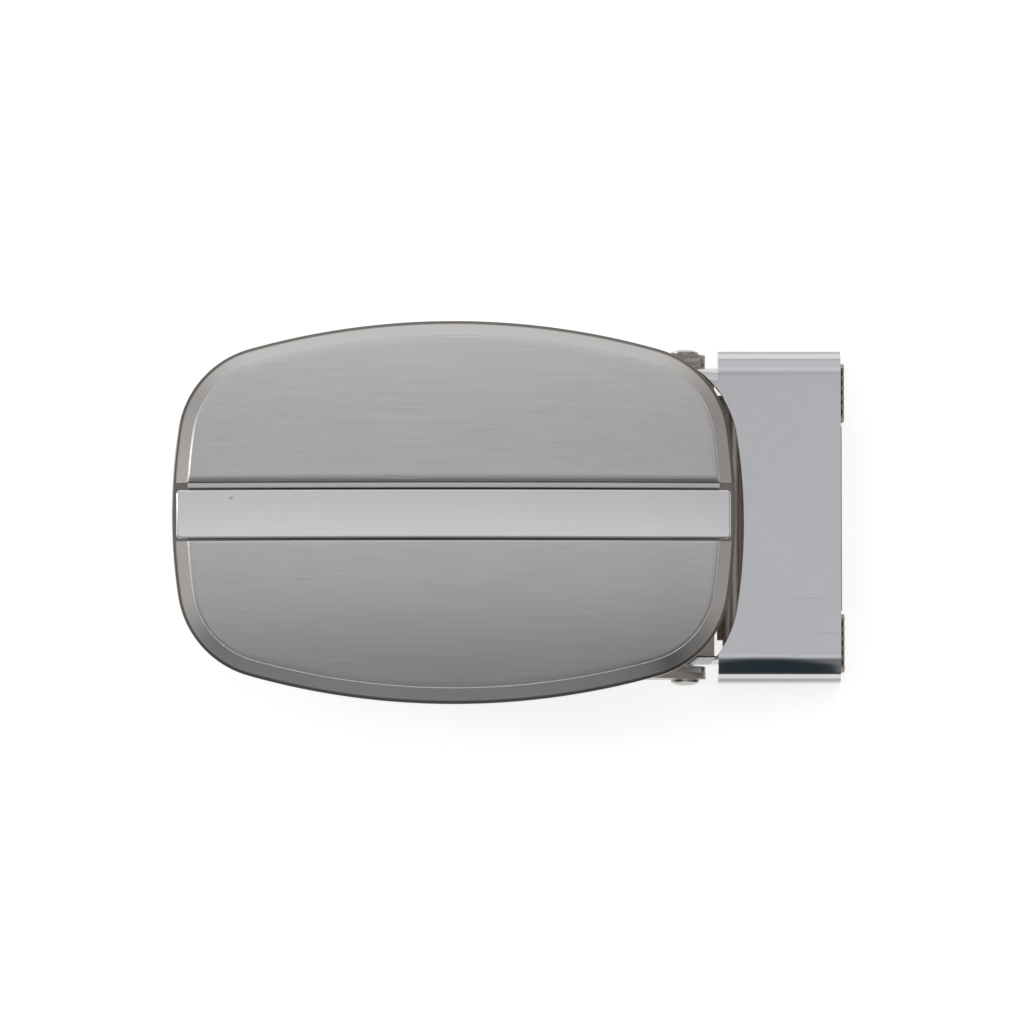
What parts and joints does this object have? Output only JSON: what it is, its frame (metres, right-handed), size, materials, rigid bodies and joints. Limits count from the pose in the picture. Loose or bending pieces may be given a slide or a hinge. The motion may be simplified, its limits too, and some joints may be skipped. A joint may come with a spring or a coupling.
{
  "type": "automatic belt buckle",
  "caption": "Barrel-shaped belt buckle with brushed panels, a polished bar, a sprung strap pawl and a hinged toothed strap clip.",
  "frame": {"origin": "under the middle of the whole buckle, on the surface that its back rests on", "axes": "+X from the face plate to the strap clip, +Y across the strap, +Z out of the face"},
  "size_m": [0.0694, 0.0394, 0.0145],
  "materials": {
    "face_cast": "nickel-plated zinc casting, panels brushed along the strap, rim polished",
    "bar_polish": "polished nickel plate",
    "frame_sheet": "bright nickel-plated steel sheet",
    "pin_steel": "nickel-plated steel, turned",
    "rivet_steel": "nickel-plated steel, domed and polished",
    "roller_steel": "nickel-plated steel tube, worn by the strap",
    "pawl_steel": "hardened steel, ground teeth",
    "spring_steel": "drawn spring wire",
    "lever_sheet": "nickel-plated steel sheet, satin",
    "screw_steel": "nickel-plated slotted screw",
    "clip_polish": "polished nickel plate on steel sheet",
    "jaw_sheet": "nickel-plated steel sheet, warmer inside the clip"
  },
  "bodies": {
    "buckle": {"face_plate": "face_cast", "centre_bar": "bar_polish", "back_frame": "frame_sheet", "frame_rivets": "pin_steel", "clip_rivet_upper": "rivet_steel", "clip_rivet_lower": "rivet_steel", "roller_pin": "pin_steel", "spreader_bar": "pin_steel", "pawl_spring": "spring_steel"},
    "roller": {"strap_roller": "roller_steel"},
    "pawl": {"pawl": "pawl_steel", "pawl_shaft": "pin_steel", "release_lever": "lever_sheet", "lever_screw": "screw_steel"},
    "clip": {"clip_cover": "clip_polish", "jaw_pin": "pin_steel"},
    "jaw": {"clip_jaw": "jaw_sheet"}
  },
  "joints": [
    {"name": "clip_tilt", "type": "hinge", "parent": "buckle", "child": "clip", "pos_m": [0.0181, 0, 0.0026], "axis": [0, 1, 0], "range_deg": [-12, 35]},
    {"name": "jaw_opening", "type": "hinge", "parent": "clip", "child": "jaw", "pos_m": [0.0226, 0, 0.00125], "axis": [0, 1, 0], "range_deg": [0, 95]},
    {"name": "pawl_release", "type": "hinge", "parent": "buckle", "child": "pawl", "pos_m": [-0.009, 0, 0.0034], "axis": [0, 1, 0], "range_deg": [0, 34], "stiffness_Nm_per_rad": 0.02, "springref_deg": -20.05, "deforming": ["pawl_spring"]},
    {"name": "roller_spin", "type": "hinge", "parent": "buckle", "child": "roller", "pos_m": [-0.0192, 0, 0.0036], "axis": [0, 1, 0], "continuous": true}
  ]
}
